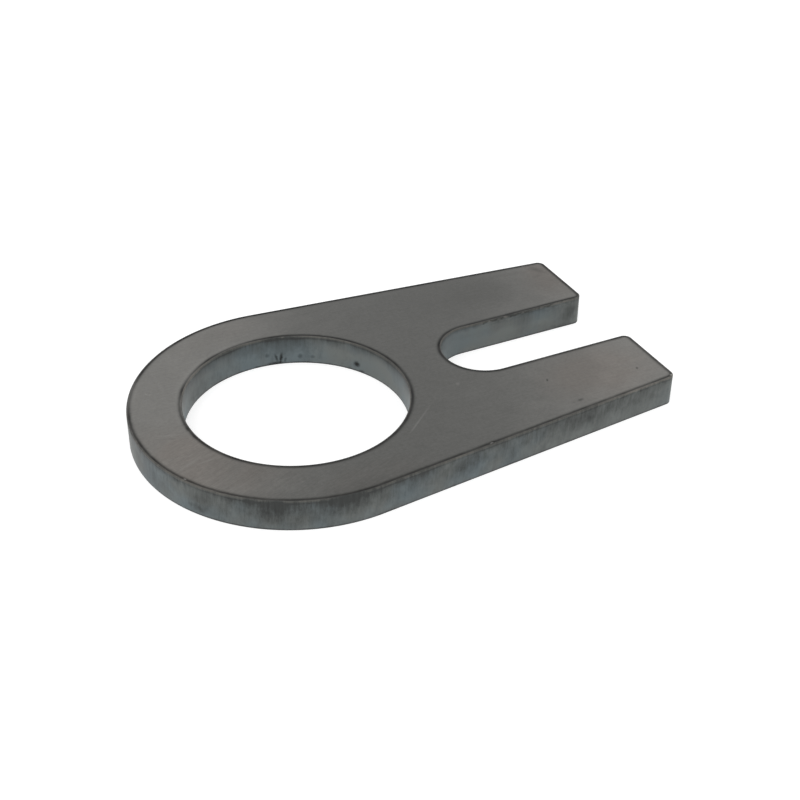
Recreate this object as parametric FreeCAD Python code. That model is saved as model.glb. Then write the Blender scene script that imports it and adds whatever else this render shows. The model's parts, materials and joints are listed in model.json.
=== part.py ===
import FreeCAD, Part
import math
import os

# Fork-ended lock plate, cut in one piece from flat steel plate. All sizes are in millimetres.
# The origin is the centre of the bore on the bottom face, +X points to the open end of the fork
# and +Z is up, towards the face on which the cut started.

# Plate thickness
PLATE_THICKNESS = 10.0

# Round end: a ring about the bore, which goes over the pin boss
BORE_DIAMETER = 67.6
RING_WIDTH = 16.2

# Land of metal left between the bore and the root of the slot
LAND_WIDTH = 16.5

# Slot between the two tabs, with a full round root
SLOT_WIDTH = 26.2
SLOT_DEPTH = 58.5

# Tabs: each one's width at its end, before its corners are rounded
TAB_END_WIDTH = 26.5
TAB_CORNER_RADIUS = 2.5

# Edges: softly rounded where the cut starts, only broken where it ends
TOP_EDGE_RADIUS = 0.3
BOTTOM_EDGE_RADIUS = 0.15

# Sizes that follow from the ones above
BORE_RADIUS = BORE_DIAMETER / 2
ROUND_END_RADIUS = BORE_RADIUS + RING_WIDTH
SLOT_HALF_WIDTH = SLOT_WIDTH / 2
SLOT_ROOT_X = BORE_RADIUS + LAND_WIDTH
SLOT_CENTRE_X = SLOT_ROOT_X + SLOT_HALF_WIDTH
TAB_END_X = SLOT_ROOT_X + SLOT_DEPTH
TAB_END_HALF_WIDTH = SLOT_HALF_WIDTH + TAB_END_WIDTH

# How near two lengths are to count as the same
SAME = 1e-6


def point(x, y, z=0.0):
    """A point, or a direction, in the plate's own frame."""
    return FreeCAD.Vector(x, y, z)


def line(start, end):
    """A straight edge between two points."""
    return Part.LineSegment(start, end).toShape()


def arc(start, middle, end):
    """A round edge through three points."""
    return Part.Arc(start, middle, end).toShape()


def side_tangent_point():
    """Where the straight side from a tab's outer corner meets the round end, without a kink."""
    corner_distance = math.hypot(TAB_END_X, TAB_END_HALF_WIDTH)
    corner_angle = math.atan2(TAB_END_HALF_WIDTH, TAB_END_X)
    angle = corner_angle + math.acos(ROUND_END_RADIUS / corner_distance)
    return point(ROUND_END_RADIUS * math.cos(angle), ROUND_END_RADIUS * math.sin(angle))


def mirrored(place):
    """The same point on the other side of the plate's centre line."""
    return point(place.x, -place.y, place.z)


def outer_outline():
    """Closed outline: round end, two closing sides, tab ends and the round-rooted slot."""
    tangent = side_tangent_point()
    outer_corner = point(TAB_END_X, TAB_END_HALF_WIDTH)
    slot_corner = point(TAB_END_X, SLOT_HALF_WIDTH)
    slot_start = point(SLOT_CENTRE_X, SLOT_HALF_WIDTH)
    return Part.Wire([
        line(tangent, outer_corner),
        line(outer_corner, slot_corner),
        line(slot_corner, slot_start),
        arc(slot_start, point(SLOT_ROOT_X, 0), mirrored(slot_start)),
        line(mirrored(slot_start), mirrored(slot_corner)),
        line(mirrored(slot_corner), mirrored(outer_corner)),
        line(mirrored(outer_corner), mirrored(tangent)),
        arc(mirrored(tangent), point(-ROUND_END_RADIUS, 0), tangent),
    ])


def bore_outline():
    """The bore's circle, concentric with the round end."""
    return Part.Wire([Part.makeCircle(BORE_RADIUS, point(0, 0))])


def plate_blank():
    """The plate as cut, with square edges and sharp tab corners."""
    profile = Part.Face([outer_outline(), bore_outline()], "Part::FaceMakerBullseye")
    return profile.extrude(point(0, 0, PLATE_THICKNESS))


def is_tab_corner(edge):
    """Whether an edge runs from face to face at the end of a tab."""
    ends = [vertex.Point for vertex in edge.Vertexes]
    at_tab_end = all(abs(end.x - TAB_END_X) < SAME for end in ends)
    return at_tab_end and abs(ends[0].z - ends[-1].z) > SAME


def round_tab_corners(solid):
    """Both corners of each tab, rounded from face to face."""
    corners = [edge for edge in solid.Edges if is_tab_corner(edge)]
    return solid.makeFillet(TAB_CORNER_RADIUS, corners)


def rim_edges(solid, height):
    """Every edge of the flat face at one height."""
    return [
        edge for edge in solid.Edges
        if abs(edge.BoundBox.ZMin - height) < SAME and abs(edge.BoundBox.ZMax - height) < SAME
    ]


def soften_rims(solid):
    """The rims of the outline and the bore, rounded on both faces."""
    solid = solid.makeFillet(TOP_EDGE_RADIUS, rim_edges(solid, PLATE_THICKNESS))
    return solid.makeFillet(BOTTOM_EDGE_RADIUS, rim_edges(solid, 0.0))


def lock_plate():
    """The finished plate, one solid."""
    return soften_rims(round_tab_corners(plate_blank()))


def main():
    """Write the plate's solid to its file and print what it measures."""
    os.makedirs("parts", exist_ok=True)
    plate = lock_plate()
    plate.exportStep("parts/lock_plate.step")
    box = plate.BoundBox
    print("lock_plate valid", plate.isValid(), "solids", len(plate.Solids), "faces", len(plate.Faces))
    print("size", round(box.XLength, 3), round(box.YLength, 3), round(box.ZLength, 3))
    print("volume", round(plate.Volume, 1))


main()
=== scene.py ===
import json
import logging
import math
from dataclasses import dataclass, field
from enum import Enum

import bpy
from mathutils import Euler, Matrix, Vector


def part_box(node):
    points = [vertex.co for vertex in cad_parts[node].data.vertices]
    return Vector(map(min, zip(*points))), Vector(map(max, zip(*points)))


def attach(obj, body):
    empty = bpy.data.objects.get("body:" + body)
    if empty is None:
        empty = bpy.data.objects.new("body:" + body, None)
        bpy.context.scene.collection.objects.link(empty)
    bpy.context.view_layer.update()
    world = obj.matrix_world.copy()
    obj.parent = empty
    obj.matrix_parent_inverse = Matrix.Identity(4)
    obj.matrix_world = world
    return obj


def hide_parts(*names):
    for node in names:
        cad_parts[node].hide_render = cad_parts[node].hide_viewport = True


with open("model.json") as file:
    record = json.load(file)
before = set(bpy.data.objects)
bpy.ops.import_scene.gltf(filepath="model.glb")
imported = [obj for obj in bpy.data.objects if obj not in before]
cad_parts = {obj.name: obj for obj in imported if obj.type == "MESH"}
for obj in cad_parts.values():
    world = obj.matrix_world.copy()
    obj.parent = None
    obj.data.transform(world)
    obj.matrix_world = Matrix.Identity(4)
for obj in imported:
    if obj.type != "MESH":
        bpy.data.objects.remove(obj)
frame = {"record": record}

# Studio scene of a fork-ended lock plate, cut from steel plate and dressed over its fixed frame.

LOG = logging.getLogger("lock_plate")
MM = 0.001
# How far the dressed plate keeps inside its solid
SNUG = 0.002 * MM
WHITE = (1.0, 1.0, 1.0, 1.0)
UP = (0.0, 0.0, 1.0)

Value = object
Socket = bpy.types.NodeSocket
Tree = bpy.types.NodeTree

# Node types that the finishes and the shape use again and again
MATH, VECTOR_MATH, MAP_RANGE = "ShaderNodeMath", "ShaderNodeVectorMath", "ShaderNodeMapRange"
NOISE, MAPPING, MIX = "ShaderNodeTexNoise", "ShaderNodeMapping", "ShaderNodeMix"
SPLIT, JOINED = "ShaderNodeSeparateXYZ", "ShaderNodeCombineXYZ"
SHADER, SURFACE = "ShaderNodeBsdfPrincipled", "ShaderNodeOutputMaterial"
# Their settings
ADD, SUBTRACT, SCALE = {"operation": "ADD"}, {"operation": "SUBTRACT"}, {"operation": "SCALE"}
MULTIPLY, MULTIPLY_ADD = {"operation": "MULTIPLY"}, {"operation": "MULTIPLY_ADD"}
IN_COLOUR = {"data_type": "RGBA"}
# Where a colour mix takes its two colours, and which output it hands back
UNDER, OVER, MIXED = 6, 7, 2


class Side(Enum):
    """The two kinds of surface that a plate cut from stock has."""

    FACE = "rolled face"
    CUT = "cut wall"


class Carried(Enum):
    """Names of the values that the mesh carries to its materials."""

    RUN = "cut_run"
    RIM = "rim_distance"


def linear(hex_colour: str) -> tuple[float, float, float, float]:
    """Turn an sRGB hex colour into the linear colour that a node takes.

    Args:
        hex_colour: six hex digits, with or without a leading hash.

    Returns:
        Red, green, blue and an alpha of one.
    """
    digits = hex_colour.lstrip("#")
    shares = [int(digits[i:i + 2], 16) / 255 for i in (0, 2, 4)]
    steps = [c / 12.92 if c <= 0.04045 else ((c + 0.055) / 1.055) ** 2.4 for c in shares]
    return (*steps, 1.0)


def add_node(
    tree: Tree,
    kind: str,
    settings: dict[str, Value] | None = None,
    inputs: dict[int | str, Value] | None = None,
    output: int | str = 0,
) -> Socket:
    """Add one node, with its settings and what goes into it.

    Args:
        tree: the tree that gets the node.
        kind: the node's type name.
        settings: the node's own properties.
        inputs: a value, a socket or a list of sockets for each input, by name or number.
        output: which output to hand back.

    Returns:
        The asked output, or None for a node that has none.
    """
    node = tree.nodes.new(kind)
    for name, value in (settings or {}).items():
        setattr(node, name, value)
    for key, value in (inputs or {}).items():
        if isinstance(value, (Socket, list)):
            for source in value if isinstance(value, list) else [value]:
                tree.links.new(source, node.inputs[key])
        else:
            node.inputs[key].default_value = value
    return node.outputs[output] if len(node.outputs) else None


def in_scene(name: str, data: bpy.types.ID) -> bpy.types.Object:
    """Put new data into the scene as an object of its own.

    Args:
        name: the object's name.
        data: its mesh, lamp or camera.

    Returns:
        The object.
    """
    made = bpy.data.objects.new(name, data)
    bpy.context.scene.collection.objects.link(made)
    return made


def blank_material(name: str) -> bpy.types.Material:
    """Make a material whose tree is still empty.

    Args:
        name: the material's name.

    Returns:
        The material.
    """
    made = bpy.data.materials.new(name)
    made.use_nodes = True
    made.node_tree.nodes.clear()
    return made


@dataclass(frozen=True)
class FacePlace:
    """A place on a flat face: its object coordinates and the face's height, in metres."""

    tree: Tree
    place: Socket
    level: float


@dataclass(frozen=True)
class WallSpot:
    """A spot on a cut wall: its run along the cut, in metres, and its depth as a share of the thickness."""

    tree: Tree
    run: Socket
    depth: Socket


@dataclass(frozen=True)
class WallPlace(WallSpot):
    """A wall's spot as a material sees it: also its object coordinates, and run and height as a vector."""

    place: Socket
    flat: Socket


@dataclass(frozen=True)
class Mark:
    """One soft oval mark, in millimetres: a scratch when it is long and thin, a stain or a pit when wide.

    On a face the place is x and y, and on a wall it is the distance along the cut and the height.
    """

    across: float
    up: float
    half_length: float
    half_width: float
    strength: float
    turn: float = 0.0

    # How far above and below its surface a mark reaches, in millimetres
    REACH = 5
    # The share of a mark, from its middle, that is evenly strong
    MIDDLE = 0.15

    def shade(self, tree: Tree, place: Socket, level: float) -> Socket:
        """Add the nodes that give the mark's strength at a place.

        Args:
            tree: the material's tree.
            place: coordinates on the face or the wall, in metres.
            level: the third coordinate of the surface that has the mark, in metres.

        Returns:
            The mark's strength in its middle, falling to 0 at its edge.
        """
        own = add_node(tree, MAPPING, {"vector_type": "TEXTURE"}, {
            "Vector": place,
            "Location": (self.across * MM, self.up * MM, level),
            "Rotation": (0.0, 0.0, math.radians(self.turn)),
            "Scale": (self.half_length * MM, self.half_width * MM, self.REACH * MM),
        })
        away = add_node(tree, VECTOR_MATH, {"operation": "LENGTH"}, {0: own}, "Value")
        return add_node(
            tree, MAP_RANGE, {"interpolation_type": "SMOOTHSTEP"},
            {"Value": away, "From Min": 1.0, "From Max": self.MIDDLE, "To Min": 0.0, "To Max": self.strength},
        )


def marked(tree: Tree, marks: tuple[Mark, ...], place: Socket, level: float = 0.0) -> Socket:
    """Add up the strength of several marks.

    Args:
        tree: the material's tree.
        marks: the marks.
        place: coordinates on the face or the wall, in metres.
        level: the third coordinate of the surface that has them, in metres.

    Returns:
        Their summed strength.
    """
    total = marks[0].shade(tree, place, level)
    for mark in marks[1:]:
        total = add_node(tree, MATH, ADD, {0: total, 1: mark.shade(tree, place, level)})
    return total


@dataclass(frozen=True)
class Falloff:
    """How a value changes along a distance: the points of a curve, whose first lies at 0 and last at 1."""

    points: tuple[tuple[float, float], ...]

    def at(self, tree: Tree, share: Socket) -> Socket:
        """Add the nodes that read the curve.

        Args:
            tree: the material's tree.
            share: where the curve is read, from 0 to 1.

        Returns:
            The curve's value there.
        """
        read = add_node(tree, "ShaderNodeFloatCurve", None, {"Value": share})
        mapping = read.node.mapping
        first, last = mapping.curves[0].points
        first.location, last.location = self.points[0], self.points[-1]
        for spot, height in self.points[1:-1]:
            mapping.curves[0].points.new(spot, height)
        mapping.update()
        return read


@dataclass(frozen=True)
class Uneven:
    """A value that wanders between two levels from place to place, over patches of one size in metres.

    The span is the part of the noise that is drawn out between the levels, from low to high. A seed sets
    one pattern apart from the others of its size, and a flat pattern takes no notice of the third coordinate.
    """

    size: float
    low: float
    high: float
    detail: float = 2.0
    roughness: float = 0.5
    span: tuple[float, float] = (0.35, 0.65)
    seed: float | None = None
    flat: bool = False
    clamp: bool = True

    def at(self, tree: Tree, place: Socket) -> Socket:
        """Add the nodes that give the value at a place.

        Args:
            tree: a geometry or shader tree.
            place: coordinates, in metres.

        Returns:
            The value.
        """
        dimensions = "2D" if self.flat else "3D" if self.seed is None else "4D"
        inputs = {"Vector": place, "Scale": 1 / self.size, "Detail": self.detail, "Roughness": self.roughness}
        if self.seed is not None:
            inputs["W"] = self.seed
        noise = add_node(tree, NOISE, {"noise_dimensions": dimensions}, inputs)
        return add_node(
            tree, MAP_RANGE, {"clamp": self.clamp},
            {"Value": noise, "From Min": self.span[0], "From Max": self.span[1],
             "To Min": self.low, "To Max": self.high},
        )


@dataclass(frozen=True)
class DragLines:
    """The fine ribs that a cutting beam leaves on a plate's wall, trailing a little towards the bottom."""

    pitch: float = 0.56 * MM
    trail: float = 0.9 * MM
    wander: float = 2.4 * MM
    wander_turns: float = 2.4
    depth: float = 0.03 * MM
    bundles: Uneven = Uneven(11.0 * MM, 0.1, 0.8, span=(0.38, 0.7), flat=True)
    # Which row of the bundles' flat pattern the ribs follow
    bundles_row: float = 4.0
    # The ribs are full down to the first share of the thickness and faint from the second on
    full_to: float = 0.3
    faint_from: float = 0.8
    faint: float = 0.2

    def trailed(self, spot: WallSpot) -> Socket:
        """Add the nodes that turn a spot into the run at which its rib began, at the top.

        Args:
            spot: a spot on the wall, in a geometry or shader tree.

        Returns:
            The run at the top of the rib.
        """
        squared = add_node(spot.tree, MATH, {"operation": "POWER"}, {0: spot.depth, 1: 2.0})
        return add_node(spot.tree, MATH, MULTIPLY_ADD, {0: squared, 1: self.trail, 2: spot.run})

    def wave(self, spot: WallSpot) -> Socket:
        """Add the nodes that give the ribs' height, from 0 in a groove to 1 on a crest.

        Args:
            spot: a spot on the wall, in a geometry or shader tree.

        Returns:
            The rib height.
        """
        tree, began = spot.tree, self.trailed(spot)
        drift = add_node(tree, NOISE, {"noise_dimensions": "1D"},
                         {"W": began, "Scale": 1 / self.wander, "Detail": 2.0})
        turns = add_node(tree, MATH, MULTIPLY, {0: began, 1: math.tau / self.pitch})
        phase = add_node(tree, MATH, MULTIPLY_ADD, {0: drift, 1: math.tau * self.wander_turns, 2: turns})
        sine = add_node(tree, MATH, {"operation": "SINE"}, {0: phase})
        return add_node(tree, MATH, MULTIPLY_ADD, {0: sine, 1: 0.5, 2: 0.5})

    def strength(self, spot: WallSpot) -> Socket:
        """Add the nodes that give how strongly the ribs stand at a spot, strongest in the upper wall.

        Args:
            spot: a spot on the wall, in a geometry or shader tree.

        Returns:
            The ribs' strength.
        """
        tree = spot.tree
        lively = self.bundles.at(tree, add_node(tree, JOINED, None, {0: spot.run, 1: self.bundles_row}))
        upper = add_node(tree, MAP_RANGE, None, {
            "Value": spot.depth, "From Min": self.full_to, "From Max": self.faint_from,
            "To Min": 1.0, "To Max": self.faint,
        })
        return add_node(tree, MATH, MULTIPLY, {0: upper, 1: lively})


@dataclass(frozen=True)
class RolledFace:
    """Cold-finished mild steel plate: a satin warm grey skin, rolled and then handled.

    The eye sees a calm sheet of metal with soft clouds and a fine mottle, and a painted reflection that makes
    it a little paler and pinker towards both ends and darker in the middle, with a thin dark line of burnt
    skin along every cut rim and a few faint scratches and specks from handling.
    """

    # The first two colours are the lit and the dim ends of a painted reflection along the plate, and the
    # third is its pink tint
    pale: str = "#797875"
    deep: str = "#5E5E5C"
    reflection_pink: str = "#FFF9F6"
    ink: str = "#3A3A38"
    bare: str = "#8E8D8A"
    roughness: float = 0.42
    roughness_swing: float = 0.05
    skin: float = 0.4 * MM
    skin_depth: float = 0.02 * MM
    skin_strength: float = 0.12
    grain_length: float = 14.0 * MM
    grain_width: float = 0.5 * MM
    grain_share: float = 0.5
    mottle: float = 1.1 * MM
    coarse_mottle: float = 4.4 * MM
    coarse_share: float = 0.4
    # The summed noises of the texture, and the shades that they are drawn out to
    texture_span: tuple[float, float] = (0.7, 1.2)
    texture_shades: tuple[float, float] = (0.9, 1.1)
    cloud: float = 16.0 * MM
    cloud_shift: float = 30.0 * MM
    slant: float = 0.42
    # The span along the slanted line over which the painted reflection goes from pale through dark to pale
    # again
    reflection_from: float = -51.0 * MM
    reflection_to: float = 117.0 * MM
    reflection_curve: Falloff = Falloff((
        (0.0, 0.88), (0.083, 0.9), (0.17, 0.7), (0.244, 0.45), (0.292, 0.24), (0.363, 0.09), (0.452, 0.02),
        (0.64, 0.05), (0.732, 0.22), (0.8, 0.46), (0.87, 0.62), (0.923, 0.87), (1.0, 1.0),
    ))
    rim_reach: float = 2.0 * MM
    rim_wobble: float = 2.5 * MM
    rim_shift: float = 0.3 * MM
    rim_curve: Falloff = Falloff((
        (0.0, 0.4), (0.15, 0.5), (0.2, 0.8), (0.3, 1.0), (0.42, 0.96), (0.52, 0.76), (0.62, 0.47),
        (0.72, 0.26), (0.82, 0.12), (0.92, 0.04), (1.0, 0.0),
    ))
    rim_strength: Uneven = Uneven(7.0 * MM, 0.69, 0.92, detail=3.0, seed=5.0)
    # How much stronger the rim line gets for each metre towards the far side
    rim_lean: float = 2.4
    # How strongly the painted reflection's pink tint shows from place to place, and the spots where it lies
    reflection_pink_strength: Uneven = Uneven(16.0 * MM, 0.5, 1.3, seed=3.0)
    reflection_pink_spots: tuple[Mark, ...] = (
        Mark(-36, -20, 34, 26, 0.9, -40), Mark(-41.8, -9, 8, 5, 0.7, 20), Mark(2, -45, 24, 9, 0.5),
        Mark(88, -28, 28, 18, 1.2), Mark(105, 27, 13, 18, 1.2), Mark(104.6, 34.5, 6, 4, 1.2, -67),
        Mark(-8, 43, 22, 8, 0.3, 15),
    )
    scuff_turn: float = math.radians(24)
    scuff_length: float = 7.0 * MM
    scuff_width: float = 0.32 * MM
    scuff_strength: float = 0.44
    scuffed: tuple[Mark, ...] = (
        Mark(-30, -22, 40, 34, 1, -40), Mark(6, -44, 34, 14, 0.7),
    )
    scratches: tuple[Mark, ...] = (
        Mark(28.1, -26.1, 12, 0.5, 0.15, 40.1), Mark(25.3, -28.5, 6, 0.4, 0.11, 40.1),
        Mark(-40.6, -2.3, 5.6, 0.6, 0.2, -17), Mark(-40, -14, 6, 0.3, 0.16, -8),
        Mark(-39.4, -17.5, 5.4, 0.9, 0.2, 22), Mark(-34.8, -18.5, 4.4, 0.7, 0.18, 4),
        Mark(-39.8, 20.4, 1.2, 0.4, 0.35, -73), Mark(-38.8, 19.7, 1, 0.4, 0.4, 20),
        Mark(46.5, -14.8, 1.2, 0.9, 0.26, 60), Mark(-30, 36, 0.5, 0.4, 0.4),
    )
    specks: tuple[Mark, ...] = (
        Mark(71.9, -24.8, 1.1, 0.5, 0.75, 60), Mark(100.3, -31.1, 1.1, 0.6, 0.6, 60),
        Mark(75.3, -38.2, 1.6, 0.85, 0.6, 8), Mark(72.7, -38.5, 1.4, 0.7, 0.2),
        Mark(104.6, 35, 5, 1.7, 0.26, -67), Mark(103.2, 35.8, 3.4, 2.2, 0.14, -60),
        Mark(102, 31.6, 2.6, 1.4, 0.12, 10), Mark(93.5, 19.6, 7, 5, 0.12, -60),
        Mark(-41.4, -3.9, 5.4, 0.6, 0.12, -20), Mark(90, 29, 28, 13, 0.13, -4), Mark(70, 32, 34, 17, 0.12),
        Mark(94, 36.5, 9, 1.6, 0.12, -6), Mark(2, -47.5, 24, 4, 0.13), Mark(-24, -41.5, 15, 4, 0.1, -30),
        Mark(-34.6, -1.5, 1.9, 0.9, 0.6, -88), Mark(-34.1, -6, 1.8, 0.8, 0.4, -80),
    )
    worn: tuple[Mark, ...] = (
        Mark(-44.4, 22.5, 15, 3.2, 0.32, 63), Mark(-24.5, 24.5, 13, 2.6, 0.26, 45),
        Mark(-9, 33.4, 13, 2.6, 0.16, 15), Mark(-33, 9, 12, 2.4, 0.24, 75),
        Mark(107.7, -38.8, 1, 0.55, 0.95, 12), Mark(40.8, -45.6, 0.9, 0.4, 0.6, 6),
        Mark(-43.2, -23.7, 0.7, 0.4, 0.6, -60),
    )

    def material(self, thickness: float) -> bpy.types.Material:
        """Build the face's material.

        Args:
            thickness: the plate's thickness, in metres.

        Returns:
            The material.
        """
        made = blank_material("rolled_steel_face")
        tree = made.node_tree
        face = FacePlace(tree, add_node(tree, "ShaderNodeTexCoord", output="Object"), thickness)
        colour = self.tone(face)
        for layer in (self.texture, self.scuffs, self.handled, self.rim):
            colour = layer(face, colour)
        fine = add_node(tree, NOISE, None, {"Vector": face.place, "Scale": 1 / self.skin, "Detail": 2.0})
        gloss = add_node(tree, MAP_RANGE, None, {
            "Value": fine, "From Min": 0.3, "From Max": 0.7,
            "To Min": self.roughness - self.roughness_swing, "To Max": self.roughness + self.roughness_swing,
        })
        dents = add_node(tree, "ShaderNodeBump", None,
                         {"Strength": self.skin_strength, "Distance": self.skin_depth, "Height": fine})
        shader = add_node(tree, SHADER, None,
                          {"Base Color": colour, "Metallic": 1.0, "Roughness": gloss, "Normal": dents})
        add_node(tree, SURFACE, None, {"Surface": shader})
        return made

    def tone(self, face: FacePlace) -> Socket:
        """The broad change of tone along the plate: a painted reflection, paler and pinker towards both ends
        and darker in the middle, broken by soft clouds.

        Args:
            face: the place on the face.

        Returns:
            The colour.
        """
        tree, place = face.tree, face.place
        cloud = add_node(tree, NOISE, None,
                         {"Vector": place, "Scale": 1 / self.cloud, "Detail": 4.0, "Distortion": 0.6})
        along = add_node(tree, VECTOR_MATH, {"operation": "DOT_PRODUCT"},
                         {0: place, 1: (1.0, -self.slant, 0.0)}, "Value")
        drift = add_node(tree, MATH, MULTIPLY_ADD, {0: cloud, 1: self.cloud_shift, 2: along})
        share = add_node(tree, MAP_RANGE, None, {
            "Value": drift,
            "From Min": self.reflection_from + self.cloud_shift / 2,
            "From Max": self.reflection_to + self.cloud_shift / 2,
        })
        # Painted reflection: pale towards both ends of the plate and dark in the middle
        base = add_node(tree, MIX, IN_COLOUR, {
            0: self.reflection_curve.at(tree, share), UNDER: linear(self.deep), OVER: linear(self.pale),
        }, MIXED)
        # The painted reflection's pink tint on the pale ends
        pink = add_node(tree, MATH, {"operation": "MULTIPLY", "use_clamp": True}, {
            0: marked(tree, self.reflection_pink_spots, place, face.level), 1: self.reflection_pink_strength.at(tree, place),
        })
        return add_node(tree, MIX, {"data_type": "RGBA", "blend_type": "MULTIPLY"},
                        {0: pink, UNDER: base, OVER: linear(self.reflection_pink)}, MIXED)

    def texture(self, face: FacePlace, colour: Socket) -> Socket:
        """A fine mottle, and a faint grain along the rolling direction.

        Args:
            face: the place on the face.
            colour: the colour so far.

        Returns:
            The colour with its texture.
        """
        tree, place = face.tree, face.place
        mottle = add_node(tree, NOISE, None,
                          {"Vector": place, "Scale": 1 / self.mottle, "Detail": 4.0, "Roughness": 0.65})
        stretched = add_node(tree, MAPPING, None, {
            "Vector": place, "Scale": (1 / self.grain_length, 1 / self.grain_width, 1 / self.grain_width),
        })
        grain = add_node(tree, NOISE, None, {"Vector": stretched, "Scale": 1.0, "Detail": 3.0})
        coarse = add_node(tree, NOISE, {"noise_dimensions": "4D"},
                          {"Vector": place, "W": 1.0, "Scale": 1 / self.coarse_mottle, "Detail": 3.0})
        both = add_node(tree, MATH, MULTIPLY_ADD, {0: grain, 1: self.grain_share, 2: mottle})
        three = add_node(tree, MATH, MULTIPLY_ADD, {0: coarse, 1: self.coarse_share, 2: both})
        shade = add_node(tree, MAP_RANGE, {"clamp": False}, {
            "Value": three, "From Min": self.texture_span[0], "From Max": self.texture_span[1],
            "To Min": self.texture_shades[0], "To Max": self.texture_shades[1],
        })
        return add_node(tree, VECTOR_MATH, SCALE, {0: colour, "Scale": shade})

    def scuffs(self, face: FacePlace, colour: Socket) -> Socket:
        """Fine slanting rub lines on the round end, where plates were stacked and slid.

        Args:
            face: the place on the face.
            colour: the colour so far.

        Returns:
            The colour with its rub lines.
        """
        tree = face.tree
        slanted = add_node(tree, MAPPING, {"vector_type": "TEXTURE"}, {
            "Vector": face.place, "Rotation": (0.0, 0.0, self.scuff_turn),
            "Scale": (self.scuff_length, self.scuff_width, self.scuff_length),
        })
        lines = add_node(tree, NOISE, {"noise_dimensions": "4D"},
                         {"Vector": slanted, "W": 2.0, "Scale": 1.0, "Detail": 2.0})
        swing = add_node(tree, MATH, SUBTRACT, {0: lines, 1: 0.5})
        felt = add_node(tree, MATH, MULTIPLY,
                        {0: swing, 1: marked(tree, self.scuffed, face.place, face.level)})
        shade = add_node(tree, MATH, MULTIPLY_ADD, {0: felt, 1: self.scuff_strength, 2: 1.0})
        return add_node(tree, VECTOR_MATH, SCALE, {0: colour, "Scale": shade})

    def handled(self, face: FacePlace, colour: Socket) -> Socket:
        """The scratches and specks that handling left on the top face.

        Args:
            face: the place on the face.
            colour: the colour so far.

        Returns:
            The colour with its marks.
        """
        tree = face.tree
        for marks, shade in ((self.scratches, self.bare), (self.specks, self.ink)):
            share = marked(tree, marks, face.place, face.level)
            colour = add_node(tree, MIX, IN_COLOUR, {0: share, UNDER: colour, OVER: linear(shade)}, MIXED)
        return colour

    def rim(self, face: FacePlace, colour: Socket) -> Socket:
        """The dark line of burnt skin that runs along every rim, knocked off at a few nicks.

        Args:
            face: the place on the face.
            colour: the colour so far.

        Returns:
            The colour with its rim line.
        """
        tree, place = face.tree, face.place
        distance = add_node(tree, "ShaderNodeAttribute", {"attribute_name": Carried.RIM.value}, None, "Fac")
        wobble = add_node(tree, NOISE, None, {"Vector": place, "Scale": 1 / self.rim_wobble, "Detail": 2.0})
        moved = add_node(tree, MATH, MULTIPLY_ADD, {0: wobble, 1: self.rim_shift, 2: distance})
        share = add_node(tree, MAP_RANGE, None, {
            "Value": moved, "From Min": self.rim_shift / 2, "From Max": self.rim_reach + self.rim_shift / 2,
        })
        across = add_node(tree, SPLIT, None, {0: place}, "Y")
        leaned = add_node(tree, MATH, MULTIPLY_ADD,
                          {0: across, 1: self.rim_lean, 2: self.rim_strength.at(tree, place)})
        kept = add_node(tree, MATH, MULTIPLY, {0: self.rim_curve.at(tree, share), 1: leaned})
        darker = add_node(tree, MATH, SUBTRACT, {0: 1.0, 1: kept})
        lined = add_node(tree, VECTOR_MATH, SCALE, {0: colour, "Scale": darker})
        worn = marked(tree, self.worn, place, face.level)
        return add_node(tree, MIX, IN_COLOUR, {0: worn, UNDER: lined, OVER: linear(self.bare)}, MIXED)


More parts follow.
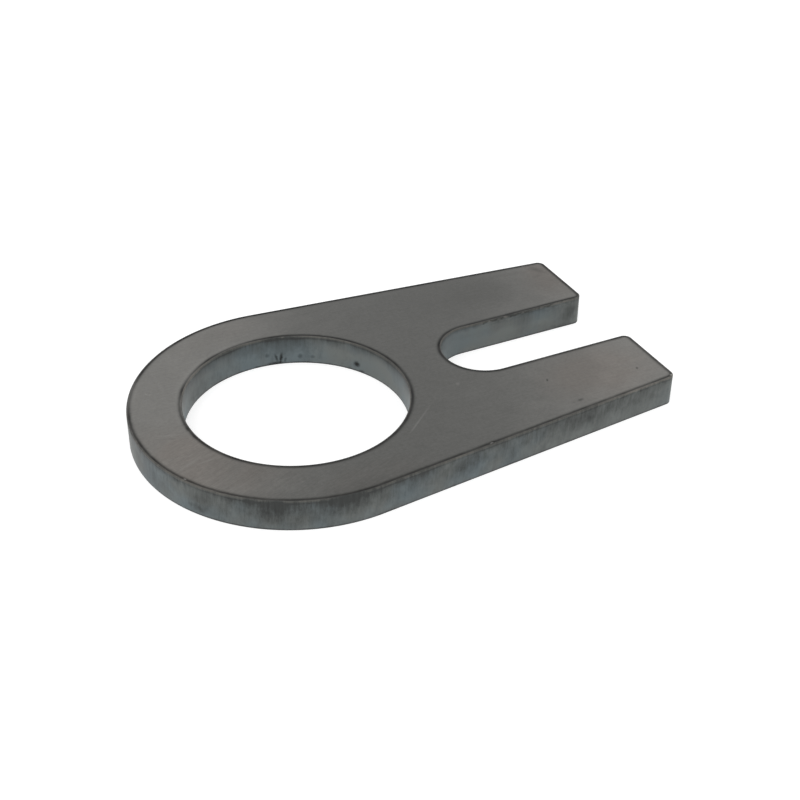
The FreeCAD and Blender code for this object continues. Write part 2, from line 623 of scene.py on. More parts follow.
@dataclass(frozen=True)
class CutWall:
    """Beam-cut steel: a wall of fine upright ribs under a thin blue-grey skin of oxide.

    The eye sees a pale lip, a painted highlight of the rounded top rim, then a dark line below it where the
    skin is thickest, sooty patches in the upper half and a smoother, paler lower half that is darker along
    the bottom edge with painted contact shade.
    """

    light: str = "#677174"
    warm: str = "#6C706E"
    # The lip's colour is a painted highlight along the rounded top rim
    lip: str = "#6E6B65"
    # The dark colour of soot, which also paints the contact shade along the bottom edge
    soot_and_shade: str = "#363837"
    burnt: str = "#141614"
    metallic: float = 0.6
    roughness: float = 0.5
    # Shares of the thickness between which the lip's colour, a painted highlight of the rounded top rim,
    # fades out
    lip_highlight_depth: tuple[float, float] = (0.02, 0.08)
    ribs: DragLines = field(default_factory=DragLines)
    streaks: Uneven = Uneven(0.9 * MM, 0.16, -0.16, 3.0, 0.7, (0.3, 0.7), flat=True, clamp=False)
    # How far the streaks' pattern moves on from the top to the bottom of the wall
    streak_fall: float = 1.1 * MM
    streak_share: float = 0.24
    streak_in_soot_and_shade: float = 0.1
    blotches: Uneven = Uneven(3.2 * MM, 0.28, -0.28, 6.0, 0.74, (0.3, 0.7), clamp=False)
    blotch_stretch: tuple[float, float, float] = (1.0, 1.0, 0.6)
    patchy: Uneven = Uneven(13.0 * MM, 0.75, 1.25, detail=3.0, roughness=0.6)
    warmth: Uneven = Uneven(13.0 * MM, 0.0, 1.0, span=(0.42, 0.62), seed=8.0)
    band_wave: float = 4.0 * MM
    band_swing: float = 0.05
    patch_shake: float = 2.4 * MM
    spatter_shake: float = 0.7 * MM
    # Any run above this one, in metres, belongs to the bore
    bore_from: float = 0.9
    # How much soot lies down the outer walls, from the top at 0 to the bottom at 1: a dip just under the top
    # leaves the painted highlight of the rounded rim, and the rise over the last few hundredths is painted
    # contact shade along the bottom edge
    outside_curve: Falloff = Falloff((
        (0.0, 0.64), (0.035, 0.58), (0.08, 0.84), (0.12, 0.66), (0.2, 0.55), (0.45, 0.43), (0.65, 0.28),
        (0.85, 0.16), (0.92, 0.17), (0.945, 0.36), (0.97, 0.85), (1.0, 1.0),
    ))
    # The same down the bore's wall, with the same painted highlight near the top and painted contact shade at
    # the bottom
    bore_curve: Falloff = Falloff((
        (0.0, 0.6), (0.03, 0.58), (0.075, 0.86), (0.12, 0.64), (0.2, 0.43), (0.3, 0.26), (0.45, 0.11),
        (0.7, 0.05), (0.92, 0.05), (0.94, 0.16), (0.965, 0.75), (1.0, 1.0),
    ))
    patches: tuple[Mark, ...] = (
        Mark(300, 6.5, 16, 7, -0.2), Mark(325, 8.7, 16, 2, 0.14), Mark(337, 7.2, 20, 6, 0.24),
        Mark(300, 9.2, 14, 1.8, 0.12), Mark(330, 6.2, 6.5, 5.6, 0.3), Mark(308.5, 6, 5.5, 6, 0.24),
        Mark(351, 7.2, 9, 5.4, 0.3), Mark(350, 9, 12, 3, 0.3), Mark(307.5, 2.4, 5.5, 1.6, 0.3),
        Mark(391, 6.5, 7, 3.6, 0.2), Mark(373, 8.2, 10, 2.6, 0.08), Mark(411, 4, 5, 4.5, -0.12),
        Mark(430, 6.8, 22, 3.6, 0.2), Mark(458, 7, 9, 6, -0.08), Mark(456, 10, 22, 0.9, -0.4),
        Mark(61.4, 5.5, 3.2, 5.5, 0.3), Mark(80.5, 5.5, 2.2, 6, 0.3), Mark(57, 0.6, 8, 1.4, 0.3),
        Mark(55.5, 9.15, 9, 0.9, -0.3), Mark(56, 9.95, 18, 0.6, 0.25), Mark(50, 6.5, 9, 5.5, -0.32),
        Mark(27, 4.5, 20, 7, -0.34), Mark(27, 8, 25, 2, -0.22), Mark(13, 4, 9, 6, -0.2),
        Mark(36, 9.95, 22, 0.6, 0.22), Mark(35, 9.1, 14, 0.9, -0.4), Mark(33.5, 8.7, 4, 1.5, 0.14),
        Mark(25.5, 9, 2.6, 1, 0.2), Mark(39, 6, 6, 4, -0.16), Mark(59, 3, 6, 3.6, 0.16),
        Mark(336, 2.8, 13, 3.2, 0.24), Mark(286, 3.2, 20, 4.4, 0.14), Mark(311, 6.8, 6, 3, 0.1),
        Mark(321.5, 7, 3.6, 3, -0.12), Mark(388, 6.4, 9, 3.2, 0.12), Mark(406, 6.6, 4.5, 3, -0.1),
        Mark(150, 10, 66, 1, 0.45), Mark(235, 10, 40, 1, 0.25), Mark(0, 5, 0.6, 8, 0.4),
        Mark(556.8, 5, 0.6, 8, 0.4), Mark(1000, 5, 0.6, 8, 0.4), Mark(1212.4, 5, 0.6, 8, 0.4),
        Mark(1107.5, 6.6, 11, 6, 0.3), Mark(1097, 7.2, 5, 3, 0.16), Mark(1074, 7.6, 11, 3.6, 0.12),
        Mark(1072, 10, 15, 0.9, -0.4), Mark(1076, 3, 11, 3.8, 0.26), Mark(1116, 6.6, 5, 2.8, 0.12),
        Mark(1107, 9.9, 10, 0.7, 0.3), Mark(1127, 3.6, 9, 4.5, -0.12), Mark(1143, 5, 10, 6.5, -0.2),
    )
    calm: tuple[Mark, ...] = (
        Mark(28, 6, 56, 20, 0.75), Mark(1090, 9, 110, 6, 0.5), Mark(1152, 5, 26, 9, 0.6),
    )
    warmer: tuple[Mark, ...] = (
        Mark(445, 5, 46, 20, 1), Mark(266, 5, 24, 20, 0.8), Mark(305, 7, 14, 4, 0.6),
        Mark(18, 5, 30, 20, 0.35), Mark(62, 5, 14, 20, 1), Mark(1144, 5, 22, 20, 0.5),
        Mark(1100, 3, 36, 9, -0.65),
    )
    spatter: tuple[Mark, ...] = (
        Mark(1133.6, 2.7, 1.7, 1.5, 1), Mark(1135.6, 0.6, 1.4, 0.8, 0.6), Mark(1114.6, 2.6, 1.2, 1.3, 0.45),
        Mark(1118.6, 2.5, 1, 0.9, 0.35), Mark(1108.4, 2.3, 0.75, 2.9, 0.95, -6),
        Mark(1106.9, 2.6, 0.65, 2.4, 0.75, 16), Mark(1109.8, 1.6, 0.6, 1.5, 0.55, -14),
        Mark(1104, 3.8, 1.1, 1.1, 0.42), Mark(1106.5, 0.5, 4.2, 0.9, 0.75),
        Mark(1100.5, 0.4, 1.6, 0.6, 0.5),
    )

    def material(self, thickness: float) -> bpy.types.Material:
        """Build the wall's material.

        Args:
            thickness: the plate's thickness, in metres.

        Returns:
            The material.
        """
        made = blank_material("beam_cut_steel_wall")
        tree = made.node_tree
        place = add_node(tree, "ShaderNodeTexCoord", output="Object")
        height = add_node(tree, SPLIT, None, {0: place}, "Z")
        depth = add_node(tree, MAP_RANGE, None, {"Value": height, "From Min": thickness, "From Max": 0.0})
        run = add_node(tree, "ShaderNodeAttribute", {"attribute_name": Carried.RUN.value}, None, "Fac")
        flat = add_node(tree, JOINED, None, {0: run, 1: height})
        colour = self.colour(WallPlace(tree, run, depth, place, flat))
        shader = add_node(tree, SHADER, None,
                          {"Base Color": colour, "Metallic": self.metallic, "Roughness": self.roughness})
        add_node(tree, SURFACE, None, {"Surface": shader})
        return made

    def shaken(self, wall: WallPlace, reach: float) -> Socket:
        """Shake the place a little, so that no mark on the wall is a clean oval.

        Args:
            wall: the place on the wall.
            reach: size of the shake, in metres.

        Returns:
            The shaken run and height.
        """
        noise = add_node(wall.tree, NOISE, {"noise_dimensions": "2D"},
                         {"Vector": wall.flat, "Scale": 1 / reach, "Detail": 3.0}, "Color")
        centred = add_node(wall.tree, VECTOR_MATH, SUBTRACT, {0: noise, 1: (0.5, 0.5, 0.5)})
        return add_node(wall.tree, VECTOR_MATH, MULTIPLY_ADD,
                        {0: centred, 1: (reach, reach, 0.0), 2: wall.flat})

    def streaked(self, wall: WallPlace) -> Socket:
        """Upright streaks of uneven width, which trail as the ribs do.

        Args:
            wall: the place on the wall.

        Returns:
            The streaks' swing about 0.
        """
        down = add_node(wall.tree, MATH, MULTIPLY, {0: wall.depth, 1: self.streak_fall})
        fine = add_node(wall.tree, JOINED, None, {0: self.ribs.trailed(wall), 1: down})
        return self.streaks.at(wall.tree, fine)

    def soot_and_contact_shade(self, wall: WallPlace) -> Socket:
        """How much soot lies on the wall, from its depth and its patches, with painted contact shade along
        its bottom edge.

        Args:
            wall: the place on the wall.

        Returns:
            The soot and the painted contact shade, mostly between 0 and 1.
        """
        tree, place = wall.tree, wall.place
        in_bore = add_node(tree, MATH, {"operation": "GREATER_THAN"}, {0: wall.run, 1: self.bore_from})
        wavy = add_node(tree, NOISE, None, {"Vector": place, "Scale": 1 / self.band_wave, "Detail": 2.0})
        lifted = add_node(tree, MATH, MULTIPLY_ADD, {0: wavy, 1: self.band_swing, 2: wall.depth})
        level = add_node(tree, MATH, SUBTRACT, {0: lifted, 1: self.band_swing / 2})
        band = add_node(tree, MIX, None, {
            0: in_bore, 2: self.outside_curve.at(tree, level), 3: self.bore_curve.at(tree, level),
        })
        total = add_node(tree, MATH, MULTIPLY, {0: band, 1: self.patchy.at(tree, place)})
        patches = marked(tree, self.patches, self.shaken(wall, self.patch_shake))
        return add_node(tree, MATH, ADD, {0: total, 1: patches})

    def skin(self, wall: WallPlace) -> Socket:
        """The clean oxide's colour, between blue and warm grey, with the pale lip at its top, a painted
        highlight of the rounded rim.

        Args:
            wall: the place on the wall.

        Returns:
            The colour.
        """
        tree = wall.tree
        warmed = add_node(tree, MATH, {"operation": "ADD", "use_clamp": True}, {
            0: self.warmth.at(tree, wall.place), 1: marked(tree, self.warmer, wall.flat),
        })
        clean = add_node(tree, MIX, IN_COLOUR,
                         {0: warmed, UNDER: linear(self.light), OVER: linear(self.warm)}, MIXED)
        at_lip_highlight = add_node(tree, MAP_RANGE, None,
                          {"Value": wall.depth, "From Min": self.lip_highlight_depth[1], "From Max": self.lip_highlight_depth[0]})
        # Painted highlight at the top of the wall, under the rounded rim
        return add_node(tree, MIX, IN_COLOUR, {0: at_lip_highlight, UNDER: clean, OVER: linear(self.lip)}, MIXED)

    def colour(self, wall: WallPlace) -> Socket:
        """The wall's colour: streaks and blotches of soot, painted contact shade along the bottom edge and a
        few drops of spatter on its skin.

        Args:
            wall: the place on the wall.

        Returns:
            The colour.
        """
        tree = wall.tree
        soot_and_contact_shade, swing = self.soot_and_contact_shade(wall), self.streaked(wall)
        reach = add_node(tree, MATH, MULTIPLY_ADD, {0: soot_and_contact_shade, 1: self.streak_in_soot_and_shade, 2: self.streak_share})
        streaked = add_node(tree, MATH, MULTIPLY, {0: swing, 1: reach})
        tall = add_node(tree, VECTOR_MATH, MULTIPLY, {0: wall.place, 1: self.blotch_stretch})
        uneven = add_node(tree, MATH, ADD, {0: self.blotches.at(tree, tall), 1: streaked})
        lively = add_node(tree, MATH, SUBTRACT, {0: 1.0, 1: marked(tree, self.calm, wall.flat)})
        total = add_node(tree, MATH, {"operation": "MULTIPLY_ADD", "use_clamp": True},
                         {0: uneven, 1: lively, 2: soot_and_contact_shade})
        # Soot, and painted contact shade along the bottom edge, over the skin
        sooted_and_shaded = add_node(tree, MIX, IN_COLOUR,
                          {0: total, UNDER: self.skin(wall), OVER: linear(self.soot_and_shade)}, MIXED)
        drops = marked(tree, self.spatter, self.shaken(wall, self.spatter_shake))
        spattered = add_node(tree, MIX, IN_COLOUR, {0: drops, UNDER: sooted_and_shaded, OVER: linear(self.burnt)}, MIXED)
        felt = add_node(tree, MATH, MULTIPLY, {0: swing, 1: total})
        shade = add_node(tree, MATH, SUBTRACT, {0: 1.0, 1: felt})
        return add_node(tree, VECTOR_MATH, SCALE, {0: spattered, "Scale": shade})


@dataclass(frozen=True)
class Nick:
    """A small dent in a top rim, in millimetres along the cut."""

    run: float
    half_length: float
    depth: float


@dataclass
class LockPlate:
    """The plate itself: its outline, its rounded rims and its ribbed walls, all in metres."""

    thickness: float
    bore_radius: float
    round_end_radius: float
    slot_half_width: float
    slot_root: float
    tab_end: float
    tab_end_width: float = 26.5 * MM
    tab_corner_radius: float = 2.5 * MM
    top_rim: float = 0.3 * MM
    bottom_rim: float = 0.15 * MM
    face_margin: float = 2.0 * MM
    column: float = 0.15 * MM
    wall_rows: int = 7
    rim_rows: int = 3
    lip: float = 0.75 * MM
    # How far in from the rim the faces' first flat row lies, in rim radii
    top_flat_from: float = 1.2
    bottom_flat_from: float = 1.4
    ribs: DragLines = field(default_factory=DragLines)
    nicks: tuple[Nick, ...] = (Nick(398.2, 0.9, 0.22), Nick(464.6, 0.7, 0.2), Nick(303.5, 0.6, 0.14))

    @classmethod
    def from_frame(cls, node: str, record: dict) -> "LockPlate":
        """Take the plate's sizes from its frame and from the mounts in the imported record.

        Args:
            node: the plate's node.
            record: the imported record.

        Returns:
            The plate, not built yet.
        """
        low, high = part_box(node)
        mounts = {mount["name"]: mount for mount in record["mounts"]}
        slot = mounts["fork_slot"]
        slot_root = high.x - slot["dims"]["slot_length_mm"] * MM
        return cls(
            thickness=high.z,
            bore_radius=mounts["bore"]["dims"]["r_mm"] * MM,
            round_end_radius=-low.x - SNUG,
            slot_half_width=slot["pos_m"][0] - slot_root,
            slot_root=slot_root,
            tab_end=high.x - SNUG,
        )

    def corners(self) -> list[tuple[float, float, float]]:
        """Each corner of the outline before it is rounded: x, y and the radius it gets."""
        half_end = self.slot_half_width + self.tab_end_width
        reach = math.hypot(self.tab_end, half_end)
        tangent = math.atan2(half_end, self.tab_end) + math.acos(self.round_end_radius / reach)
        back = self.round_end_radius * (1 + math.cos(tangent)) / math.sin(tangent)
        upper = [
            (self.slot_root, self.slot_half_width, self.slot_half_width),
            (self.tab_end, self.slot_half_width, self.tab_corner_radius),
            (self.tab_end, half_end, self.tab_corner_radius),
            (-self.round_end_radius, back, self.round_end_radius),
        ]
        return upper + [(x, -y, radius) for x, y, radius in reversed(upper)]

    def section(self) -> list[tuple[float, float]]:
        """Points of the rim and wall section, from the top face round to the bottom face.

        Returns:
            For each point, how far it lies outside the rim and its height.
        """
        points = [(-self.face_margin, self.thickness), (-self.top_rim * self.top_flat_from, self.thickness)]
        for i in range(self.rim_rows + 1):
            turn = math.pi / 2 * i / self.rim_rows
            points.append((self.top_rim * (math.sin(turn) - 1),
                           self.thickness - self.top_rim * (1 - math.cos(turn))))
        wall = self.thickness - self.lip - self.bottom_rim
        for i in range(self.wall_rows):
            points.append((0.0, self.thickness - self.lip - wall * i / self.wall_rows))
        for i in range(self.rim_rows):
            turn = math.pi / 2 * i / (self.rim_rows - 1)
            points.append((self.bottom_rim * (math.cos(turn) - 1), self.bottom_rim * (1 - math.sin(turn))))
        return points + [(-self.bottom_rim * self.bottom_flat_from, 0.0), (-self.face_margin, 0.0)]

    def loop_object(self, name: str, points: list[tuple[float, ...]], closed: bool) -> bpy.types.Object:
        """Make an object of bare edges for the shape's tree to read.

        Args:
            name: the object's name.
            points: the x and y of its points.
            closed: whether the last point joins the first.

        Returns:
            The object, in the scene.
        """
        edges = [(i, i + 1) for i in range(len(points) - 1)]
        if closed:
            edges.append((len(points) - 1, 0))
        mesh = bpy.data.meshes.new(name)
        mesh.from_pydata([(x, y, 0.0) for x, y in points], edges, [])
        return in_scene(name, mesh)

    def outline_object(self) -> bpy.types.Object:
        """The outline's corners as a closed loop, each carrying the radius that it is rounded to."""
        corners = self.corners()
        made = self.loop_object("outline_corners", [(x, y) for x, y, _ in corners], True)
        radii = made.data.attributes.new(ShapeTree.RADIUS, "FLOAT", "POINT")
        radii.data.foreach_set("value", [radius for _, _, radius in corners])
        return made

    def build(self, finishes: dict[Side, bpy.types.Material]) -> bpy.types.Object:
        """Build the plate's mesh from its outline and section.

        Args:
            finishes: the material of each kind of surface.

        Returns:
            The finished piece, a plain mesh with its place in its vertices.
        """
        host, section = self.outline_object(), self.loop_object("wall_section", self.section(), False)
        shape = ShapeTree(self.ribs, self.nicks)
        modifier = host.modifiers.new("shape", "NODES")
        modifier.node_group = shape.tree
        shape.set_inputs(modifier, {
            "Section": section,
            "Bore Radius": self.bore_radius,
            "Thickness": self.thickness,
            "Face Margin": self.face_margin,
            "Rim Radius": self.top_rim,
            "Column Spacing": self.column,
            "Lip Height": self.lip,
            "Rib Depth": self.ribs.depth,
            "Face Finish": finishes[Side.FACE],
            "Wall Finish": finishes[Side.CUT],
        })
        depsgraph = bpy.context.evaluated_depsgraph_get()
        mesh = bpy.data.meshes.new_from_object(host.evaluated_get(depsgraph), depsgraph=depsgraph)
        for name in ShapeTree.WORKING:
            if name in mesh.attributes:
                mesh.attributes.remove(mesh.attributes[name])
        mesh.materials.pop(index=0)
        for helper in (host, section):
            bpy.data.objects.remove(helper)
        return in_scene("cut_plate", mesh)


class ShapeTree:
    """The tree that sweeps the section round the outline and the bore, ribs the walls and fills the faces."""

    RADIUS = "corner_radius"
    PATH = "path_point"
    OUTWARD = "outward"
    SECTION = "section_point"
    WORKING = (RADIUS, PATH, OUTWARD, SECTION)
    ARC_POINTS = 160
    BORE_START = math.radians(-100)
    # The bore's run starts here, in metres, so that its marks stay apart from the outline's
    BORE_RUN = 1.0
    WELD = 0.001 * MM
    # How far a nick presses the rim down for each measure that it presses it back
    NICK_DROP = 0.7
    # How far in from the wall a nick reaches, in rim radii
    NICK_REACH = 1.1
    INPUTS = {
        "NodeSocketGeometry": ("Geometry",),
        "NodeSocketObject": ("Section",),
        "NodeSocketFloat": ("Bore Radius", "Thickness", "Face Margin", "Rim Radius", "Column Spacing",
                            "Lip Height", "Rib Depth"),
        "NodeSocketMaterial": ("Face Finish", "Wall Finish"),
    }

    def __init__(self, ribs: DragLines, nicks: tuple[Nick, ...]) -> None:
        """Build the tree.

        Args:
            ribs: the ribs that the walls get.
            nicks: the dents that the top rims get.
        """
        self.ribs = ribs
        self.nicks = nicks
        self.tree = bpy.data.node_groups.new("cut_plate", "GeometryNodeTree")
        for kind, names in self.INPUTS.items():
            for name in names:
                self.tree.interface.new_socket(name, in_out="INPUT", socket_type=kind)
        self.tree.interface.new_socket("Geometry", in_out="OUTPUT", socket_type="NodeSocketGeometry")
        self.given = add_node(self.tree, "NodeGroupInput").node.outputs
        path = self.path()
        joined = add_node(self.tree, "GeometryNodeJoinGeometry", None,
                          {0: [self.band(path), *self.caps(path)]})
        welded = add_node(self.tree, "GeometryNodeMergeByDistance", None, {0: joined, "Distance": self.WELD})
        add_node(self.tree, "NodeGroupOutput", None, {0: self.dressed(welded)})

    def set_inputs(self, modifier: bpy.types.NodesModifier, values: dict[str, Value]) -> None:
        """Set a modifier's inputs by their sockets' identifiers.

        Args:
            modifier: the modifier that uses the tree.
            values: a value for each named input.
        """
        for item in self.tree.interface.items_tree:
            if item.in_out == "INPUT" and item.name in values:
                modifier[item.identifier] = values[item.name]

    def stored(self, geometry: Socket, name: str, kind: str, value: Value) -> Socket:
        """Store a value on every point under a name.

        Args:
            geometry: what gets the value.
            name: the attribute's name.
            kind: FLOAT or FLOAT_VECTOR.
            value: a socket or a number.

        Returns:
            The geometry with its attribute.
        """
        return add_node(self.tree, "GeometryNodeStoreNamedAttribute", {"data_type": kind, "domain": "POINT"},
                        {"Geometry": geometry, "Name": name, "Value": value})

    def kept(self, name: str, kind: str) -> Socket:
        """Read a stored value back.

        Args:
            name: the attribute's name.
            kind: FLOAT or FLOAT_VECTOR.

        Returns:
            The value.
        """
        return add_node(self.tree, "GeometryNodeInputNamedAttribute", {"data_type": kind}, {"Name": name})

    def path(self) -> Socket:
        """The outline and the bore as evenly divided loops that carry their run and outward direction."""
        tree, given = self.tree, self.given
        corners = add_node(tree, "GeometryNodeMeshToCurve", None, {0: given["Geometry"]})
        outline = add_node(
            tree, "GeometryNodeFilletCurve", {"mode": "POLY"},
            {"Curve": corners, "Count": self.ARC_POINTS, "Radius": self.kept(self.RADIUS, "FLOAT")},
        )
        circle = add_node(tree, "GeometryNodeCurvePrimitiveCircle", None,
                          {"Resolution": 4 * self.ARC_POINTS, "Radius": given["Bore Radius"]})
        turned = add_node(tree, "GeometryNodeTransform", None,
                          {"Geometry": circle, "Rotation": (0.0, 0.0, self.BORE_START)})
        bore = add_node(tree, "GeometryNodeReverseCurve", None, {"Curve": turned})
        loops = add_node(tree, "GeometryNodeJoinGeometry", None,
                         {0: [self.divided(outline, 0.0), self.divided(bore, self.BORE_RUN)]})
        return self.stored(loops, self.PATH, "FLOAT_VECTOR", add_node(tree, "GeometryNodeInputPosition"))

    def divided(self, loop: Socket, first_run: float) -> Socket:
        """Divide a loop evenly and store its run and outward direction.

        Args:
            loop: the loop.
            first_run: the run at its start.

        Returns:
            The divided loop.
        """
        tree = self.tree
        even = add_node(tree, "GeometryNodeResampleCurve", {"mode": "LENGTH"},
                        {"Curve": loop, "Length": self.given["Column Spacing"]})
        outward = add_node(tree, VECTOR_MATH, {"operation": "CROSS_PRODUCT"},
                           {0: add_node(tree, "GeometryNodeInputTangent"), 1: UP})
        length = add_node(tree, "GeometryNodeSplineParameter", output="Length")
        run = add_node(tree, MATH, ADD, {0: length, 1: first_run})
        even = self.stored(even, Carried.RUN.value, "FLOAT", run)
        return self.stored(even, self.OUTWARD, "FLOAT_VECTOR", outward)

    def shifted(self, outwards: Socket, height: Value) -> Socket:
        """A place by its distance outside the path and its height.

        Args:
            outwards: distance outside the path, in metres.
            height: height above the bottom face, in metres.

        Returns:
            The place.
        """
        path, outward = self.kept(self.PATH, "FLOAT_VECTOR"), self.kept(self.OUTWARD, "FLOAT_VECTOR")
        flat = add_node(self.tree, VECTOR_MATH, MULTIPLY_ADD, {0: outward, 1: outwards, 2: path})
        lift = add_node(self.tree, JOINED, None, {"Z": height})
        return add_node(self.tree, VECTOR_MATH, ADD, {0: flat, 1: lift})

    def relief(self, outwards: Socket, height: Socket) -> Socket:
        """How far the ribs' grooves cut into the wall at a place, in metres.

        Args:
            outwards: the section point's distance outside the path.
            height: the section point's height.

        Returns:
            The depth of the groove.
        """
        tree, given = self.tree, self.given
        depth = add_node(tree, MAP_RANGE, None,
                         {"Value": height, "From Min": given["Thickness"], "From Max": 0.0})
        spot = WallSpot(tree, self.kept(Carried.RUN.value, "FLOAT"), depth)
        groove = add_node(tree, MATH, SUBTRACT, {0: 1.0, 1: self.ribs.wave(spot)})
        felt = add_node(tree, MATH, MULTIPLY, {0: groove, 1: self.ribs.strength(spot)})
        inner = add_node(tree, MATH, MULTIPLY, {0: given["Rim Radius"], 1: -1.0})
        on_wall = add_node(tree, MAP_RANGE, None, {"Value": outwards, "From Min": inner, "From Max": 0.0})
        deep = add_node(tree, MATH, MULTIPLY, {0: felt, 1: given["Rib Depth"]})
        return add_node(tree, MATH, MULTIPLY, {0: deep, 1: on_wall})

    def dents(self, outwards: Socket, height: Socket) -> Socket:
        """How far the nicks press a top rim back at a place, in metres.

        Args:
            outwards: the section point's distance outside the path.
            height: the section point's height.

        Returns:
            The depth of the dent.
        """
        tree, given = self.tree, self.given
        run = self.kept(Carried.RUN.value, "FLOAT")
        total = 0.0
        for nick in self.nicks:
            away = add_node(tree, MATH, SUBTRACT, {0: run, 1: nick.run * MM})
            near = add_node(tree, MATH, {"operation": "ABSOLUTE"}, {0: away})
            pressed = add_node(tree, MAP_RANGE, {"interpolation_type": "SMOOTHSTEP"}, {
                "Value": near, "From Min": nick.half_length * MM, "From Max": 0.0,
                "To Max": nick.depth * MM,
            })
            total = add_node(tree, MATH, ADD, {0: pressed, 1: total})
        foot = add_node(tree, MATH, SUBTRACT, {0: given["Thickness"], 1: given["Lip Height"]})
        on_lip = add_node(tree, MAP_RANGE, None,
                          {"Value": height, "From Min": foot, "From Max": given["Thickness"]})
        edge = add_node(tree, MATH, MULTIPLY, {0: given["Rim Radius"], 1: -self.NICK_REACH})
        off_face = add_node(tree, MATH, {"operation": "GREATER_THAN"}, {0: outwards, 1: edge})
        lip = add_node(tree, MATH, MULTIPLY, {0: on_lip, 1: off_face})
        return add_node(tree, MATH, MULTIPLY, {0: total, 1: lip})

    def band(self, path: Socket) -> Socket:
        """The rims and walls: the section swept along each loop, with its ribs.

        Args:
            path: the divided loops.

        Returns:
            The band's mesh.
        """
        tree, given = self.tree, self.given
        shape = add_node(tree, "GeometryNodeObjectInfo", None, {"Object": given["Section"]}, "Geometry")
        line = add_node(tree, "GeometryNodeMeshToCurve", None, {0: shape})
        line = self.stored(line, self.SECTION, "FLOAT_VECTOR", add_node(tree, "GeometryNodeInputPosition"))
        swept = add_node(tree, "GeometryNodeCurveToMesh", None, {"Curve": path, "Profile Curve": line})
        split = add_node(tree, SPLIT, None, {0: self.kept(self.SECTION, "FLOAT_VECTOR")}).node
        outwards, height = split.outputs["X"], split.outputs["Y"]
        dent = self.dents(outwards, height)
        cut_back = add_node(tree, MATH, SUBTRACT, {0: outwards, 1: self.relief(outwards, height)})
        pressed_back = add_node(tree, MATH, SUBTRACT, {0: cut_back, 1: dent})
        pressed_down = add_node(tree, MATH, MULTIPLY_ADD, {0: dent, 1: -self.NICK_DROP, 2: height})
        placed = add_node(tree, "GeometryNodeSetPosition", None,
                          {"Geometry": swept, "Position": self.shifted(pressed_back, pressed_down)})
        inwards = add_node(tree, MATH, MULTIPLY, {0: outwards, 1: -1.0})
        return self.stored(placed, Carried.RIM.value, "FLOAT", inwards)

    def caps(self, path: Socket) -> list[Socket]:
        """The flat middle of the bottom and the top face.

        Args:
            path: the divided loops.

        Returns:
            The two meshes.
        """
        tree, given = self.tree, self.given
        inwards = add_node(tree, MATH, MULTIPLY, {0: given["Face Margin"], 1: -1.0})
        edge = add_node(tree, "GeometryNodeSetPosition", None,
                        {"Geometry": path, "Position": self.shifted(inwards, 0.0)})
        sheet = add_node(tree, "GeometryNodeFillCurve", {"mode": "TRIANGLES"}, {0: edge})
        sheet = self.stored(sheet, Carried.RIM.value, "FLOAT", given["Face Margin"])
        bottom = add_node(tree, "GeometryNodeFlipFaces", None, {0: sheet})
        lift = add_node(tree, JOINED, None, {"Z": given["Thickness"]})
        top = add_node(tree, "GeometryNodeTransform", None, {"Geometry": sheet, "Translation": lift})
        return [bottom, top]

    def dressed(self, mesh: Socket) -> Socket:
        """Smooth the shading and give each kind of surface its finish.

        Args:
            mesh: the welded plate.

        Returns:
            The plate with its materials.
        """
        tree, given = self.tree, self.given
        smooth = add_node(tree, "GeometryNodeSetShadeSmooth", None, {0: mesh})
        real = add_node(tree, "GeometryNodeRealizeInstances", None, {0: smooth})
        walls = add_node(tree, "GeometryNodeSetMaterial", None, {0: real, "Material": given["Wall Finish"]})
        past_rim = add_node(tree, "FunctionNodeCompare", {"data_type": "FLOAT", "operation": "GREATER_THAN"},
                            {0: self.kept(Carried.RIM.value, "FLOAT"), 1: given["Rim Radius"]})
        return add_node(tree, "GeometryNodeSetMaterial", None,
                        {0: walls, "Selection": past_rim, "Material": given["Face Finish"]})


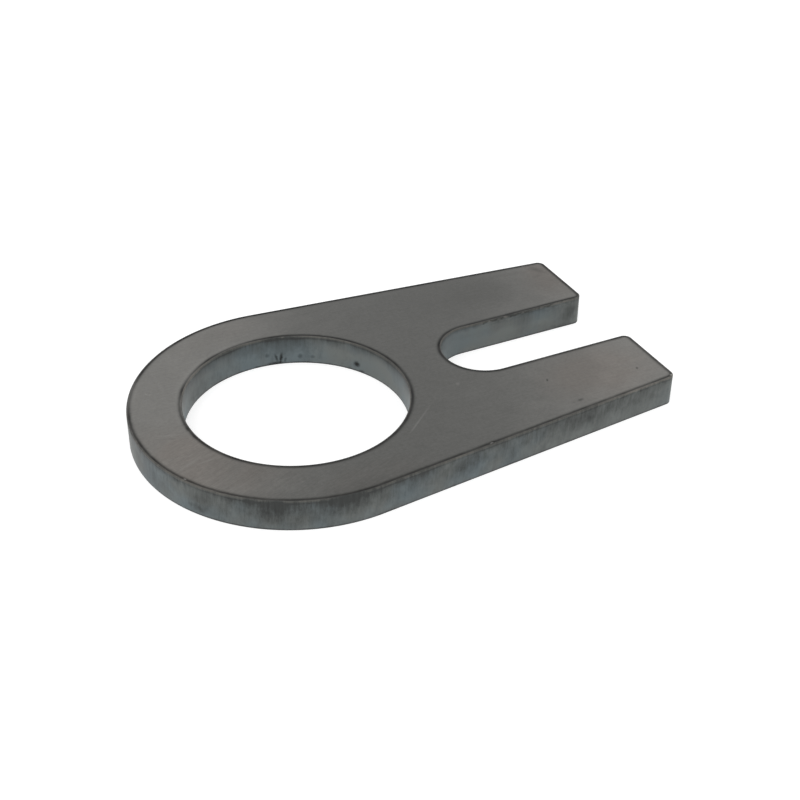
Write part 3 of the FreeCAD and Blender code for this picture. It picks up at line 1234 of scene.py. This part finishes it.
@dataclass(frozen=True)
class Studio:
    """A pale floor under soft light, seen by a camera from the photograph's angle."""

    camera_place: tuple[float, float, float] = (-0.1300, -0.3236, 0.2478)
    camera_aim: tuple[float, float, float] = (0.0302, -0.0085, 0.005)
    camera_roll: float = math.radians(0.684)
    focal_length: float = 63.753
    sensor_width: float = 36.0
    nearest_seen: float = 0.01
    floor_reach: float = 6.0
    floor_drop: float = 0.05 * MM
    floor_colour: str = "#C4C4C4"
    floor_glow: float = 0.62
    sky_light: float = 0.85
    lamp_place: tuple[float, float, float] = (-0.5, -0.5, 1.0)
    lamp_size: float = 0.9
    lamp_power: float = 4.0

    def build(self) -> None:
        """Set up the camera, the floor, the sky and the lamp."""
        self.camera()
        self.floor()
        self.sky()
        self.lamp()
        bpy.context.scene.view_settings.view_transform = "Standard"

    def aimed(self, made: bpy.types.Object, place: Vector, aim: Vector, roll: float = 0.0) -> None:
        """Stand a camera or a lamp at a place and aim it.

        Args:
            made: the camera or lamp.
            place: where it stands.
            aim: the point that it looks at.
            roll: its turn about its own line of sight, in radians.
        """
        made.location = place
        made.rotation_mode = "QUATERNION"
        look = (aim - place).to_track_quat("-Z", "Y")
        made.rotation_quaternion = look @ Euler((0.0, 0.0, roll)).to_quaternion()

    def camera(self) -> None:
        """The camera, at the photograph's place and lens."""
        lens = bpy.data.cameras.new("camera")
        lens.lens, lens.sensor_width = self.focal_length, self.sensor_width
        lens.clip_start = self.nearest_seen
        made = in_scene("camera", lens)
        self.aimed(made, Vector(self.camera_place), Vector(self.camera_aim), self.camera_roll)
        bpy.context.scene.camera = made

    def seen_or_mirrored(self, tree: Tree) -> Socket:
        """One for rays from the camera, and for those that a mirror or a glass sends on.

        Args:
            tree: a material's or the world's tree.

        Returns:
            The test's value.
        """
        rays = add_node(tree, "ShaderNodeLightPath").node.outputs
        either = add_node(tree, MATH, {"operation": "MAXIMUM"},
                          {0: rays["Is Camera Ray"], 1: rays["Is Glossy Ray"]})
        return add_node(tree, MATH, {"operation": "MAXIMUM"}, {0: either, 1: rays["Is Transmission Ray"]})

    def floor(self) -> None:
        """A pale matt floor that reads as white and keeps the plate's soft shadow."""
        half, low = self.floor_reach, -self.floor_drop
        mesh = bpy.data.meshes.new("floor")
        mesh.from_pydata([(-half, -half, low), (half, -half, low), (half, half, low), (-half, half, low)],
                         [], [(0, 1, 2, 3)])
        made = in_scene("floor", mesh)
        paper = blank_material("matt_white_floor")
        tree = paper.node_tree
        glow = add_node(tree, MATH, MULTIPLY, {0: self.seen_or_mirrored(tree), 1: self.floor_glow})
        shader = add_node(tree, SHADER, None, {
            "Base Color": linear(self.floor_colour), "Roughness": 1.0, "Specular IOR Level": 0.0,
            "Emission Color": WHITE, "Emission Strength": glow,
        })
        add_node(tree, SURFACE, None, {"Surface": shader})
        mesh.materials.append(paper)

    def sky(self) -> None:
        """An even white surround, which lights the plate and shows as white."""
        world = bpy.data.worlds.new("soft_surround")
        bpy.context.scene.world = world
        world.use_nodes = True
        tree = world.node_tree
        tree.nodes.clear()
        strength = add_node(tree, MAP_RANGE, None,
                            {"Value": self.seen_or_mirrored(tree), "To Min": self.sky_light, "To Max": 1.0})
        light = add_node(tree, "ShaderNodeBackground", None, {"Color": WHITE, "Strength": strength})
        add_node(tree, "ShaderNodeOutputWorld", None, {"Surface": light})

    def lamp(self) -> None:
        """One large soft lamp above and to the left."""
        light = bpy.data.lights.new("soft_box", "AREA")
        light.shape, light.size, light.energy = "DISK", self.lamp_size, self.lamp_power
        self.aimed(in_scene("soft_box", light), Vector(self.lamp_place), Vector())


def main() -> None:
    """Build the studio and the plate, and report each piece."""
    logging.basicConfig(level=logging.INFO, format="%(name)s: %(message)s")
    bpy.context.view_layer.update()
    node = "lock_plate"
    Studio().build()
    plate = LockPlate.from_frame(node, frame["record"])
    finishes = {
        Side.FACE: RolledFace().material(plate.thickness),
        Side.CUT: CutWall().material(plate.thickness),
    }
    piece = plate.build(finishes)
    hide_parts(node)
    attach(piece, "root")
    LOG.info("%s has %d faces", piece.name, len(piece.data.polygons))


if __name__ == "__main__":
    main()
